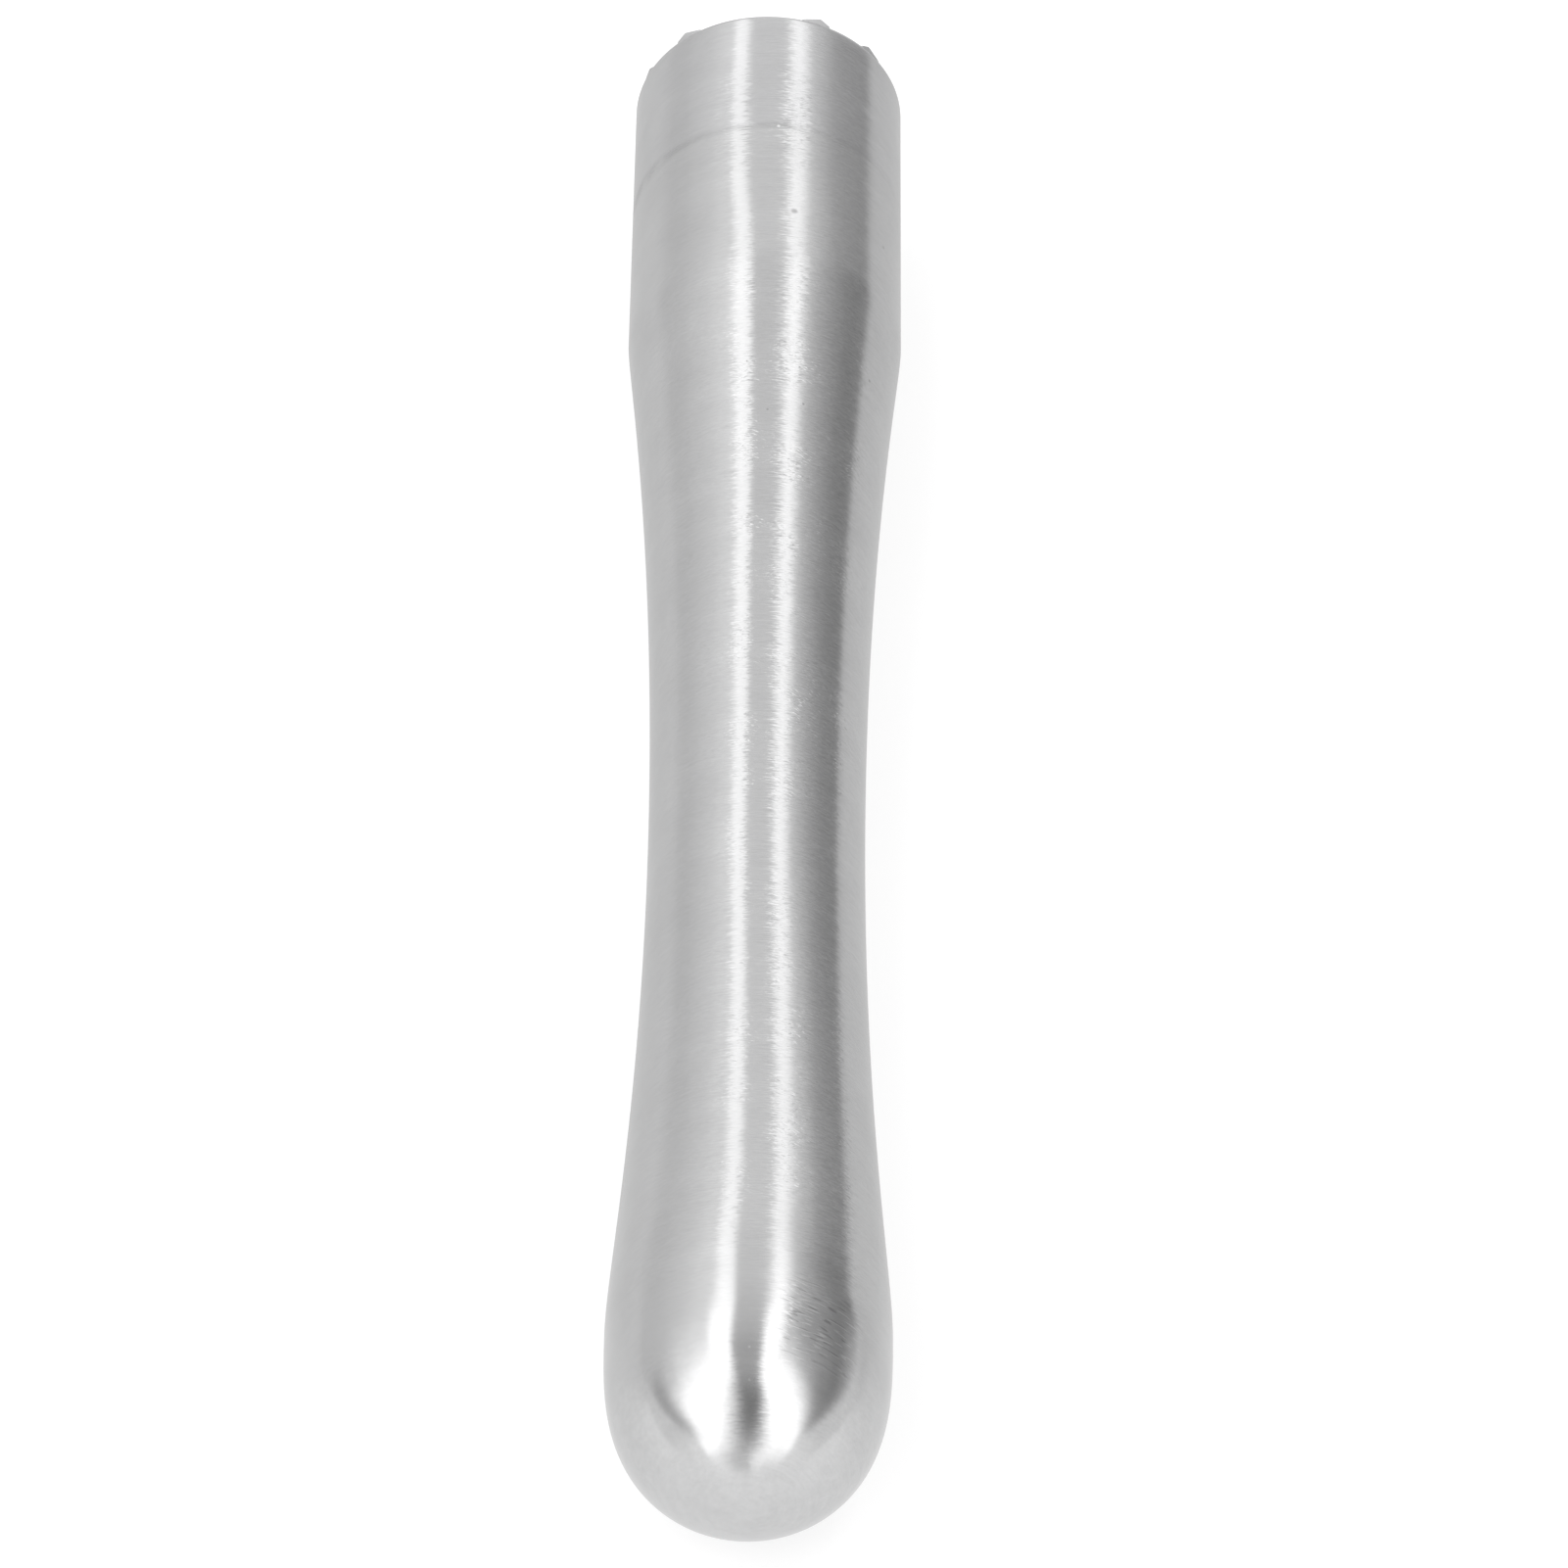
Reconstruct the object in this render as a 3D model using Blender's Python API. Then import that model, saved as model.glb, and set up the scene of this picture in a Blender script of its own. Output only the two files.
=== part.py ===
"""Cocktail muddler: a hollow tool of brushed stainless steel, welded from three shells.

Metres, +Z up. The tool lies on its side along Y, with its toothed head towards +Y and its
round end towards -Y. It rests on its shoulder and on its belly, and the origin is under its
middle. Each piece is drawn in the tool's own frame: local Z is the tool's axis, its heights
start at the floor between the teeth and grow towards the round end.
"""

import math

import bmesh
import bpy
from mathutils import Vector

for old in list(bpy.data.objects):
    bpy.data.objects.remove(old, do_unlink=True)

MM = 0.001

# Outer shape
HEAD_RADIUS = 16.0 * MM
RIM_ROUNDING = 1.06 * MM
HEAD_LENGTH = 19.9 * MM
COLLAR_LENGTH = 22.0 * MM
NECK_LENGTH = 78.9 * MM
GRIP_LENGTH = 69.5 * MM
DOME_LENGTH = 22.6 * MM

# How far the tube is drawn in from the head's radius
WAIST_DRAW = 4.0 * MM
BELLY_DRAW = 0.93 * MM

# How full the curves are: handle lengths as shares of the neck and the grip
SHOULDER_SLOPE = 0.054
SHOULDER_HANDLE = 0.066
NECK_WAIST_HANDLE = 0.565
GRIP_WAIST_HANDLE = 0.573
BELLY_HANDLE = 0.109
DOME_FULLNESS = 3.27

# Teeth on the head's end
TOOTH_PITCH = 5.1 * MM
TOOTH_BASE = 3.1 * MM
TOOTH_TIP = 0.7 * MM
TOOTH_HEIGHT = 0.95 * MM
TEETH_SETBACK = 0.32 * MM
TEETH_TURN = math.radians(8.6)

# Walls, and the lips that line the shells up inside
TUBE_WALL = 1.0 * MM
DOME_WALL = 1.2 * MM
HEAD_FACE = 5.0 * MM
SPIGOT_WALL = 2.0 * MM
SPIGOT_LENGTH = 8.0 * MM
DOME_LIP_WALL = 1.2 * MM
DOME_LIP_LENGTH = 5.0 * MM
LEAD_IN = 0.5 * MM

# Joints between the shells
WELD_WIDTH = 0.4 * MM
FIT_GAP = 0.3 * MM

# Fineness of the facets
SEGMENTS = 36
TUBE_STEP = 5.0 * MM
DOME_STEPS = 12
ROUNDING_STEPS = 4
CURVE_HALVINGS = 40
SAME_PLACE = 0.001 * MM
SMOOTH_ANGLE = math.radians(30)

# Radii, and heights along the axis from the floor between the teeth
WAIST_RADIUS = HEAD_RADIUS - WAIST_DRAW
BELLY_RADIUS = HEAD_RADIUS - BELLY_DRAW
HEAD_SEAM = HEAD_LENGTH
SHOULDER = HEAD_SEAM + COLLAR_LENGTH
WAIST = SHOULDER + NECK_LENGTH
BELLY = WAIST + GRIP_LENGTH
POLE = BELLY + DOME_LENGTH
SEAM_REACH = WELD_WIDTH / 2 + FIT_GAP

NECK_CURVE = (
    Vector((SHOULDER, HEAD_RADIUS)),
    Vector((SHOULDER, HEAD_RADIUS)) + SHOULDER_HANDLE * NECK_LENGTH * Vector((1, -SHOULDER_SLOPE)),
    Vector((WAIST - NECK_WAIST_HANDLE * NECK_LENGTH, WAIST_RADIUS)),
    Vector((WAIST, WAIST_RADIUS)),
)
GRIP_CURVE = (
    Vector((WAIST, WAIST_RADIUS)),
    Vector((WAIST + GRIP_WAIST_HANDLE * GRIP_LENGTH, WAIST_RADIUS)),
    Vector((BELLY - BELLY_HANDLE * GRIP_LENGTH, BELLY_RADIUS)),
    Vector((BELLY, BELLY_RADIUS)),
)


def on_bezier(curve, share):
    """The point at this share of a cubic Bezier curve, as (height, radius)."""
    points = list(curve)
    while len(points) > 1:
        points = [a.lerp(b, share) for a, b in zip(points, points[1:])]
    return points[0]


def radius_on_bezier(curve, height):
    """The radius where the curve, whose heights only grow, passes this height."""
    low, high = 0.0, 1.0
    for _ in range(CURVE_HALVINGS):
        middle = (low + high) / 2
        if on_bezier(curve, middle).x < height:
            low = middle
        else:
            high = middle
    return on_bezier(curve, high).y


def tube_radius(height):
    """Outer radius of the tube: a straight collar, the neck down to the waist, then the grip."""
    if height <= SHOULDER:
        return HEAD_RADIUS
    if height <= WAIST:
        return radius_on_bezier(NECK_CURVE, height)
    return radius_on_bezier(GRIP_CURVE, min(height, BELLY))


def dome_outline(radius, length, first_height):
    """Points of a dome, nearly straight at first and round at its pole, from first_height up."""
    first_angle = math.asin((first_height / length) ** (DOME_FULLNESS / 2))
    points = []
    for step in range(DOME_STEPS):
        angle = first_angle + (math.pi / 2 - first_angle) * step / DOME_STEPS
        rise = length * math.sin(angle) ** (2 / DOME_FULLNESS)
        points.append((BELLY + rise, radius * math.cos(angle)))
    points.append((BELLY + length, 0.0))
    return points


def heights_between(first, last):
    """Even heights along the tube, with the shoulder and the waist among them."""
    heights = [first]
    for start, end in ((first, SHOULDER), (SHOULDER, WAIST), (WAIST, last)):
        steps = max(1, round((end - start) / TUBE_STEP))
        if start < SHOULDER:
            steps = 1
        heights += [start + (end - start) * (step + 1) / steps for step in range(steps)]
    return heights


def rounded_corner(height, radius, rounding):
    """A quarter arc from the end face out to the side, for a corner at this height and radius."""
    points = []
    for step in range(ROUNDING_STEPS + 1):
        angle = math.pi / 2 * step / ROUNDING_STEPS
        points.append((
            height + rounding * (1 - math.sin(angle)),
            radius - rounding * (1 - math.cos(angle)),
        ))
    return points[::-1]


def steel(name, colour, roughness):
    """A plain steel material of this colour."""
    material = bpy.data.materials.new(name)
    material.use_nodes = True
    shader = material.node_tree.nodes["Principled BSDF"]
    shader.inputs["Base Color"].default_value = (*colour, 1.0)
    shader.inputs["Metallic"].default_value = 1.0
    shader.inputs["Roughness"].default_value = roughness
    return material


def new_object(name, bm, material=None):
    """The finished mesh as an object carried by the tool's frame."""
    mesh = bpy.data.meshes.new(name)
    bm.to_mesh(mesh)
    bm.free()
    mesh.shade_smooth()
    mesh.set_sharp_from_angle(angle=SMOOTH_ANGLE)
    obj = bpy.data.objects.new(name, mesh)
    if material:
        mesh.materials.append(material)
    bpy.context.collection.objects.link(obj)
    obj.parent = tool_frame
    return obj


def turned(outline, closed):
    """A mesh turned round the axis from (height, radius) points. Its flats lie at the radius."""
    half_step = math.pi / SEGMENTS
    bm = bmesh.new()
    ring = [bm.verts.new((radius, radius * math.tan(half_step), height)) for height, radius in outline]
    edges = [bm.edges.new(pair) for pair in zip(ring, ring[1:])]
    if closed:
        edges.append(bm.edges.new((ring[-1], ring[0])))
    bmesh.ops.spin(
        bm, geom=ring + edges, cent=(0, 0, 0), axis=(0, 0, 1),
        angle=2 * math.pi, steps=SEGMENTS, use_merge=True,
    )
    bmesh.ops.remove_doubles(bm, verts=bm.verts, dist=SAME_PLACE)
    bmesh.ops.recalc_face_normals(bm, faces=bm.faces)
    return bm


def hide_as_helper(obj):
    """Keep a helper shape out of the finished part."""
    obj.hide_render = True
    obj.display_type = "WIRE"


def add_boolean(obj, other, operation):
    """Combine obj with other, exactly."""
    modifier = obj.modifiers.new(operation.lower(), "BOOLEAN")
    modifier.operation = operation
    modifier.solver = "EXACT"
    modifier.object = other


def add_tooth(bm, x, y, root):
    """One square pyramid with a small flat top. Its root reaches into the face below it."""
    layers = []
    for height, width in ((root, TOOTH_BASE), (0.0, TOOTH_BASE), (-TOOTH_HEIGHT, TOOTH_TIP)):
        corners = ((-1, -1), (1, -1), (1, 1), (-1, 1))
        layers.append([
            bm.verts.new((x + width / 2 * across, y + width / 2 * along, height))
            for across, along in corners
        ])
    bm.faces.new(layers[0])
    bm.faces.new(layers[-1])
    for lower, upper in zip(layers, layers[1:]):
        for side in range(4):
            after = (side + 1) % 4
            bm.faces.new((lower[side], lower[after], upper[after], upper[side]))


def tooth_places():
    """Grid places, half a pitch off the axis, whose middle lies inside the trimmed field."""
    reach = math.ceil(HEAD_RADIUS / TOOTH_PITCH)
    grid = [(step + 0.5) * TOOTH_PITCH for step in range(-reach, reach)]
    field_radius = HEAD_RADIUS - TEETH_SETBACK
    return [(x, y) for x in grid for y in grid if math.hypot(x, y) < field_radius]


def make_teeth():
    """All the teeth, trimmed round to the field's edge, as one helper."""
    bm = bmesh.new()
    for x, y in tooth_places():
        add_tooth(bm, x, y, RIM_ROUNDING)
    bmesh.ops.recalc_face_normals(bm, faces=bm.faces)
    teeth = new_object("teeth_helper", bm)
    teeth.rotation_euler.z = TEETH_TURN

    field_radius = HEAD_RADIUS - TEETH_SETBACK
    below, above = 2 * RIM_ROUNDING, -2 * TOOTH_HEIGHT
    field = new_object("teeth_field_helper", turned(
        [(above, 0.0), (above, field_radius), (below, field_radius), (below, 0.0)], closed=False,
    ))
    add_boolean(teeth, field, "INTERSECT")
    hide_as_helper(field)
    hide_as_helper(teeth)
    return teeth


def make_head():
    """The cast head: a thick toothed face, a skirt, and a spigot that lines up the tube."""
    spigot_radius = HEAD_RADIUS - TUBE_WALL - FIT_GAP
    bore_radius = spigot_radius - SPIGOT_WALL
    skirt_end = HEAD_SEAM - SEAM_REACH
    spigot_end = HEAD_SEAM + SPIGOT_LENGTH
    outline = [(0.0, 0.0)]
    outline += rounded_corner(0.0, HEAD_RADIUS, RIM_ROUNDING)
    outline += [
        (skirt_end, HEAD_RADIUS),
        (skirt_end, spigot_radius),
        (spigot_end - LEAD_IN, spigot_radius),
        (spigot_end, spigot_radius - LEAD_IN),
        (spigot_end, bore_radius),
        (HEAD_FACE, bore_radius),
        (HEAD_FACE, 0.0),
    ]
    head = new_object(
        "toothed_head", turned(outline, closed=False),
        steel("cast_head_steel", (0.60, 0.60, 0.61), 0.30),
    )
    add_boolean(head, make_teeth(), "UNION")


def make_tube():
    """The drawn tube: collar, neck, waist and grip, open at both ends."""
    heights = heights_between(HEAD_SEAM + SEAM_REACH, BELLY - SEAM_REACH)
    outside = [(height, tube_radius(height)) for height in heights]
    inside = [(height, radius - TUBE_WALL) for height, radius in reversed(outside)]
    new_object(
        "handle_tube", turned(outside + inside, closed=True),
        steel("tube_steel", (0.63, 0.62, 0.62), 0.28),
    )


def make_dome():
    """The pressed cap on the round end, with a lip that lines up the tube."""
    lip_end = BELLY - DOME_LIP_LENGTH
    lip_radius = tube_radius(lip_end) - TUBE_WALL - FIT_GAP
    cavity_radius = lip_radius - DOME_LIP_WALL
    outline = [
        (lip_end, cavity_radius),
        (lip_end, lip_radius - LEAD_IN),
        (lip_end + LEAD_IN, lip_radius),
        (BELLY + SEAM_REACH, lip_radius),
    ]
    outline += dome_outline(BELLY_RADIUS, DOME_LENGTH, SEAM_REACH)
    outline += reversed(dome_outline(cavity_radius, DOME_LENGTH - DOME_WALL, SEAM_REACH))
    new_object(
        "dome_cap", turned(outline, closed=True),
        steel("dome_steel", (0.64, 0.63, 0.63), 0.26),
    )


def make_weld(name, height, radius, depth):
    """A weld bead in the seam at this height, ground flush with the shells' outside."""
    low, high = height - WELD_WIDTH / 2, height + WELD_WIDTH / 2
    inner = radius - depth
    new_object(
        name, turned([(low, inner), (low, radius), (high, radius), (high, inner)], closed=True),
        steel(name + "_steel", (0.45, 0.44, 0.43), 0.40),
    )


# The tool leans so that its shoulder and its belly both touch the surface
LEAN = math.atan2(HEAD_RADIUS - BELLY_RADIUS, BELLY - SHOULDER)
MIDDLE = (POLE - TOOTH_HEIGHT) / 2
AXIS_HEIGHT_AT_FLOOR_OF_TEETH = HEAD_RADIUS * math.cos(LEAN) + SHOULDER * math.sin(LEAN)

tool_frame = bpy.data.objects.new("tool_frame", None)
bpy.context.collection.objects.link(tool_frame)
tool_frame.rotation_euler.x = math.pi / 2 + LEAN
tool_frame.location = (0.0, MIDDLE * math.cos(LEAN), AXIS_HEIGHT_AT_FLOOR_OF_TEETH)

make_head()
make_tube()
make_dome()
make_weld("head_weld", HEAD_SEAM, HEAD_RADIUS, TUBE_WALL)
make_weld("dome_weld", BELLY, BELLY_RADIUS, TUBE_WALL)
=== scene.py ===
"""A cocktail muddler of brushed stainless steel, lying on a white table in a light tent.

Metres, +Z up. The tool lies along Y with its toothed head towards +Y. Its turned pieces are
drawn as half outlines of (height, radius) points: heights run along the tool's own axis, from
the floor between the teeth to the pole of the round end.
"""

import math

import bmesh
import bpy
from mathutils import Matrix, Vector


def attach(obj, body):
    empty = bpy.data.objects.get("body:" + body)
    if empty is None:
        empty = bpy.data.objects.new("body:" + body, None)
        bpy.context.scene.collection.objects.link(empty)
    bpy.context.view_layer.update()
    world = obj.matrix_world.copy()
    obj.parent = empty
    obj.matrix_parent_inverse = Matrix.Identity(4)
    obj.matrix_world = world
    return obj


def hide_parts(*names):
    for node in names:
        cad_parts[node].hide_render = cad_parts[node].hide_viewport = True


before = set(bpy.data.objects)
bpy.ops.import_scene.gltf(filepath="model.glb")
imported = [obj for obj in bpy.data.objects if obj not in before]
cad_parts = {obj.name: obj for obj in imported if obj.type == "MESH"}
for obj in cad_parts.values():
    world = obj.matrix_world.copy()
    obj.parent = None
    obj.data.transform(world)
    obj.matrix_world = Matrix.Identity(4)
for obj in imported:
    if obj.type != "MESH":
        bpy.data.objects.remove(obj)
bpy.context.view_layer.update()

MM = 0.001

# Outer shape, as in the part
HEAD_RADIUS = 16.0 * MM
RIM_ROUNDING = 1.06 * MM
HEAD_LENGTH = 19.9 * MM
COLLAR_LENGTH = 22.0 * MM
NECK_LENGTH = 78.9 * MM
GRIP_LENGTH = 69.5 * MM
DOME_LENGTH = 22.6 * MM
WAIST_RADIUS = HEAD_RADIUS - 4.0 * MM
BELLY_RADIUS = HEAD_RADIUS - 0.93 * MM
SHOULDER_SLOPE = 0.054
SHOULDER_HANDLE = 0.066
NECK_WAIST_HANDLE = 0.565
GRIP_WAIST_HANDLE = 0.573
BELLY_HANDLE = 0.109
DOME_FULLNESS = 3.27

# Teeth
TOOTH_PITCH = 5.1 * MM
TOOTH_BASE = 3.1 * MM
TOOTH_TIP = 0.7 * MM
TOOTH_HEIGHT = 0.95 * MM
TOOTH_EDGE = 0.13 * MM
TOOTH_EDGE_STEPS = 3
TEETH_SETBACK = 0.32 * MM
TEETH_TURN = math.radians(8.6)

# Walls and joints
TUBE_WALL = 1.0 * MM
DOME_WALL = 1.2 * MM
HEAD_FACE = 5.0 * MM
SPIGOT_WALL = 2.0 * MM
SPIGOT_LENGTH = 8.0 * MM
LIP_WALL = 1.2 * MM
LIP_LENGTH = 5.0 * MM
FIT_GAP = 0.3 * MM
WELD_WIDTH = 0.4 * MM
GROOVE_DEPTH = 0.002 * MM
GROOVE_EDGE = 0.16 * MM

# Heights along the axis
HEAD_SEAM = HEAD_LENGTH
SHOULDER = HEAD_SEAM + COLLAR_LENGTH
WAIST = SHOULDER + NECK_LENGTH
BELLY = WAIST + GRIP_LENGTH
POLE = BELLY + DOME_LENGTH

# The outer curves of the neck and the grip, from (height, radius) control points
NECK_CURVE = (
    Vector((SHOULDER, HEAD_RADIUS)),
    Vector((SHOULDER, HEAD_RADIUS)) + SHOULDER_HANDLE * NECK_LENGTH * Vector((1, -SHOULDER_SLOPE)),
    Vector((WAIST - NECK_WAIST_HANDLE * NECK_LENGTH, WAIST_RADIUS)),
    Vector((WAIST, WAIST_RADIUS)),
)
GRIP_CURVE = (
    Vector((WAIST, WAIST_RADIUS)),
    Vector((WAIST + GRIP_WAIST_HANDLE * GRIP_LENGTH, WAIST_RADIUS)),
    Vector((BELLY - BELLY_HANDLE * GRIP_LENGTH, BELLY_RADIUS)),
    Vector((BELLY, BELLY_RADIUS)),
)

# How the tool lies: on its shoulder and its belly
LEAN = math.atan2(HEAD_RADIUS - BELLY_RADIUS, BELLY - SHOULDER)
MIDDLE = (POLE - TOOTH_HEIGHT) / 2
TEETH_FLOOR_PLACE = Vector((
    0.0,
    MIDDLE * math.cos(LEAN),
    HEAD_RADIUS * math.cos(LEAN) + SHOULDER * math.sin(LEAN),
))
ALONG_TOOL = Vector((0.0, math.cos(LEAN), math.sin(LEAN)))
LAY_DOWN = {"Place": TEETH_FLOOR_PLACE, "Turn": Vector((LEAN, 0.0, 0.0))}
UP_TO_HEADWARD = (-math.pi / 2, 0.0, 0.0)

# Fineness
SEGMENTS = 256
TUBE_STEP = 1.2 * MM
INNER_STEP = 6.0 * MM
DOME_STEPS = 56
CAVITY_STEPS = 18
ROUNDING_STEPS = 10
GROOVE_STEPS = 4
CURVE_TRIES = 40
SAME_PLACE = 0.001 * MM
SMOOTH_ANGLE = math.radians(30)
FACE_MARGIN = 0.02 * MM

# Finishes. In these, heights, widths and lengths are in millimetres. Angles round the tool are in
# degrees: 0 is the top and 90 is the right side.
ANISOTROPY = 0.8
ANISOTROPY_TURN = 0.25
BRUSHED_EDGE_TINT = (0.95, 0.95, 0.95, 1.0)
MILLED_EDGE_TINT = (0.7, 0.7, 0.7, 1.0)
MILLED_GRAIN_SCALE = 5.0
MILLED_GRAIN_DETAIL = 3.0
MILLED_SHADE = (0.3, 0.7, 0.94, 1.05)
MILLED_ROUGHNESS = (0.3, 0.7, 0.50, 0.62)
MILLED_BUMP = 0.25
MILLED_BUMP_HEIGHT = 0.03 * MM

# Lines round the tool: width, length, place in the noise, and the noise's detail and roughness
COMB = (0.13, 0.9, 0.0, 1.0, 0.6)
HAIR = (0.11, 3.5, 40.0, 1.0, 0.6)
BAND = (1.3, 30.0, 80.0, 1.0, 0.6)
SEAM_BREAKS = (1.5, 2.4, 120.0, 1.0, 0.6)
GRAIN = (0.24, 0.95, 160.0, 2.0, 0.75)
SHORT_PITS = (0.9, 1.1, 240.0, 3.0, 0.85)
LONG_PITS = (0.5, 3.2, 300.0, 1.0, 0.6)
PATCH_SCALE = 0.16
PATCH_DETAIL = 2.0

# Scratches: slant to the lines in degrees, width, length, place in the noise, and rarity
TICKS = (28.0, 0.12, 0.7, 10.0, 0.67)
CROSS_TICKS = (-24.0, 0.12, 0.5, 20.0, 0.68)
GRINDING = (28.0, 0.18, 0.7, 30.0, 0.52)
# Lighter grinding strokes: real scratches, with a painted glint along each
GRINDING_GLINT = (6.0, 0.24, 1.4, 30.0, 0.62)
DARK_GRINDING = (10.0, 0.30, 1.5, 50.0, 0.63)
SCRATCH_EDGE = 0.10

# How far a full mark tilts the surface, round the tool and along it, in radians
COMB_TILT = 0.36
COMB_BACK_TILT = 0.10
HAIR_TILT = 0.10
BAND_TILT = 0.05
GRAIN_TILT = 0.09
TICK_TILT = -0.12
CROSS_TICK_TILT = 0.12
GRINDING_TILT = -0.022
HAIR_ALONG_TILT = 0.10
GRINDING_ALONG_TILT = 0.03

# How much a full mark changes the shade or the roughness
HAIR_SHADE = 0.14
COMB_SHADE = 0.10
BAND_SHADE = 0.06
PATCH_SHADE = 0.12
PIT_SHADE = 0.19
LONG_PIT_SHARE = 0.3
# Painted glint: how much lighter the grinding strokes are
GRINDING_GLINT_SHADE = 0.26
DARK_GRINDING_SHADE = -0.30
SEAM_SHADE = 0.105
BAND_ROUGHNESS = 0.05
SEAM_ZONE_ROUGHNESS = 0.02
SEAM_ROUGHNESS = 0.08

# The head's seam and the ground weld at the round end
SEAM_ZONE = 12.0
SEAM_SHADE_WIDTH = 0.95
SEAM_WOBBLE = 0.5
SEAM_BRUSH_SHIFT = 8.0
GRINDING_HEIGHT = 198.5
GRINDING_REACH = (7.0, 1.5)
GRINDING_FROM_LEFT = (8.0, 18.0)
GRINDING_FROM_RIGHT = (54.0, 42.0)

# Fades: where each starts and ends, and the shares at its start and its end
GRAIN_AFTER_COLLAR = (30.0, 50.0, 0.6, 1.0)
GRAIN_BEFORE_DOME = (188.0, 200.0, 1.0, 0.12)
LINES_BEFORE_DOME = (188.0, 206.0, 1.0, 0.55)
PITS_ON_DOME = (197.0, 206.0, 0.3, 1.0)
BRUSH_FROM_LEFT = (-22.0, -13.0, 0.06, 1.0)
BRUSH_PAST_TOP = (2.0, 8.0, 1.0, 1.25)
BRUSH_TO_RIGHT = (14.0, 26.0, 1.0, 0.06)
BRUSH_BY_PATCH = (0.35, 0.65, 0.7, 1.3)
TICKS_BY_PATCH = (0.40, 0.62, 0.0, 1.0)
SEAM_SPREAD_LEFT = (-62.0, -15.0, 0.5, 1.0)
SEAM_SPREAD_RIGHT = (20.0, 48.0, 1.0, 0.55)
SEAM_BY_BREAKS = (-0.2, 0.15, 0.45, 1.0)

# Slow waves of the surface: tilt round the tool in radians, by height or by angle, and their shares
GRIP_WAVE = (
    (0.0, 0.0), (120.0, 0.0), (150.0, -0.030), (172.0, -0.040), (186.0, -0.012), (195.0, 0.0),
    (214.0, 0.0),
)
HEAD_WAVE = (
    (-180.0, 0.0), (-40.0, 0.0), (-16.0, 0.024), (-7.0, 0.046), (0.0, 0.020), (8.0, -0.010),
    (16.0, -0.008), (28.0, 0.010), (50.0, 0.0), (180.0, 0.0),
)
HEAD_WAVE_SHARE = (
    (0.0, 0.7), (8.0, 0.9), (18.0, 1.0), (27.0, 0.9), (37.0, 0.1), (43.0, 0.0), (214.0, 0.0),
)
SIDE_WAVE = (
    (-180.0, 0.0), (20.0, 0.0), (38.0, 0.06), (50.0, 0.06), (66.0, 0.0), (180.0, 0.0),
)
SIDE_WAVE_SHARE = (
    (0.0, 0.0), (125.0, 0.0), (150.0, 0.5), (170.0, 0.9), (188.0, 1.0), (193.0, 0.9), (198.0, 0.0),
    (214.0, 0.0),
)

# Strengths of the marks by height or by angle
BRUSH_BY_HEIGHT = (
    (0.0, 0.35), (9.0, 0.45), (14.0, 1.05), (25.0, 1.05), (31.0, 0.45), (45.0, 0.65), (130.0, 0.65),
    (155.0, 0.52), (182.0, 0.42), (192.0, 0.36), (201.0, 0.34), (205.0, 0.52), (210.0, 0.50),
    (212.5, 0.15), (214.0, 0.05),
)
TICKS_BY_HEIGHT = (
    (0.0, 0.15), (44.0, 0.3), (54.0, 0.8), (85.0, 1.0), (112.0, 1.0), (130.0, 0.5), (150.0, 0.8),
    (180.0, 0.8), (188.0, 0.0), (214.0, 0.0),
)
# Grain by angle: real grain in the tilt, and painted glints in the colour, strongest on the dim
# band right of the top
GRAIN_AND_GLINTS_BY_ANGLE = (
    (-180.0, 0.12), (-5.0, 0.12), (18.0, 0.25), (28.0, 0.60), (42.0, 0.60), (52.0, 0.16),
    (180.0, 0.12),
)
FINE_LINES_BY_ANGLE = (
    (-180.0, 0.4), (-40.0, 0.4), (-24.0, 0.32), (-12.0, 0.8), (-5.0, 0.6), (2.0, 0.6), (9.0, 1.0),
    (180.0, 1.0),
)
SEAM_BY_ANGLE = (
    (-180.0, 1.0), (4.0, 1.0), (24.0, 0.55), (42.0, 0.5), (52.0, 0.2), (180.0, 0.2),
)

# Small marks that show in the photograph: height, angle, radius, and how much darker they are
DARK_SPOTS = (
    (34.4, 11.8, 0.56, 0.38), (32.3, 59.6, 0.30, 0.22), (125.0, 48.0, 0.25, 0.15),
    (64.2, 19.0, 0.24, 0.34), (65.8, 2.0, 0.22, 0.22), (55.2, 55.5, 0.28, 0.28),
)
# The first bright spot is a painted glint on a pit in the head's seam; the other two are bright
# specks on the round end
BRIGHT_SPOTS = ((20.0, 4.6, 0.28, -0.70), (202.7, 0.6, 0.22, -0.18), (205.9, 0.9, 0.22, -0.18))
SPOT_CORE = 0.3

# Table, in metres. A mirrored level is how bright it looks in the steel, where the table glows with
# painted light
TABLE_LEFT = -1.6
TABLE_RIGHT = 0.2
TABLE_FRONT = -0.19
TABLE_BACK = 2.0
TABLE_PAINT = (0.9, 0.9, 0.9, 1.0)
TABLE_GLOW = 1.3
TABLE_GLOW_SHARE = 0.5
MIRRORED_ACROSS = (-0.10, TABLE_RIGHT, 0.825, 0.68)
MIRRORED_NEAR = 1.12
MIRRORED_NEAR_EDGE = (-0.15, -0.03)
MIRRORED_SIDES_MEET = (-0.03, 0.03)
MIRRORED_LEFT_AWAY = (
    (-0.2, 1.04), (0.0, 1.04), (0.15, 1.03), (0.3, 1.0), (0.6, 0.95), (2.0, 0.92),
)
MIRRORED_RIGHT_AWAY = (
    (-0.2, 1.04), (0.0, 1.04), (0.15, 1.01), (0.3, 1.06), (0.6, 1.10), (2.0, 1.10),
)

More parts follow.
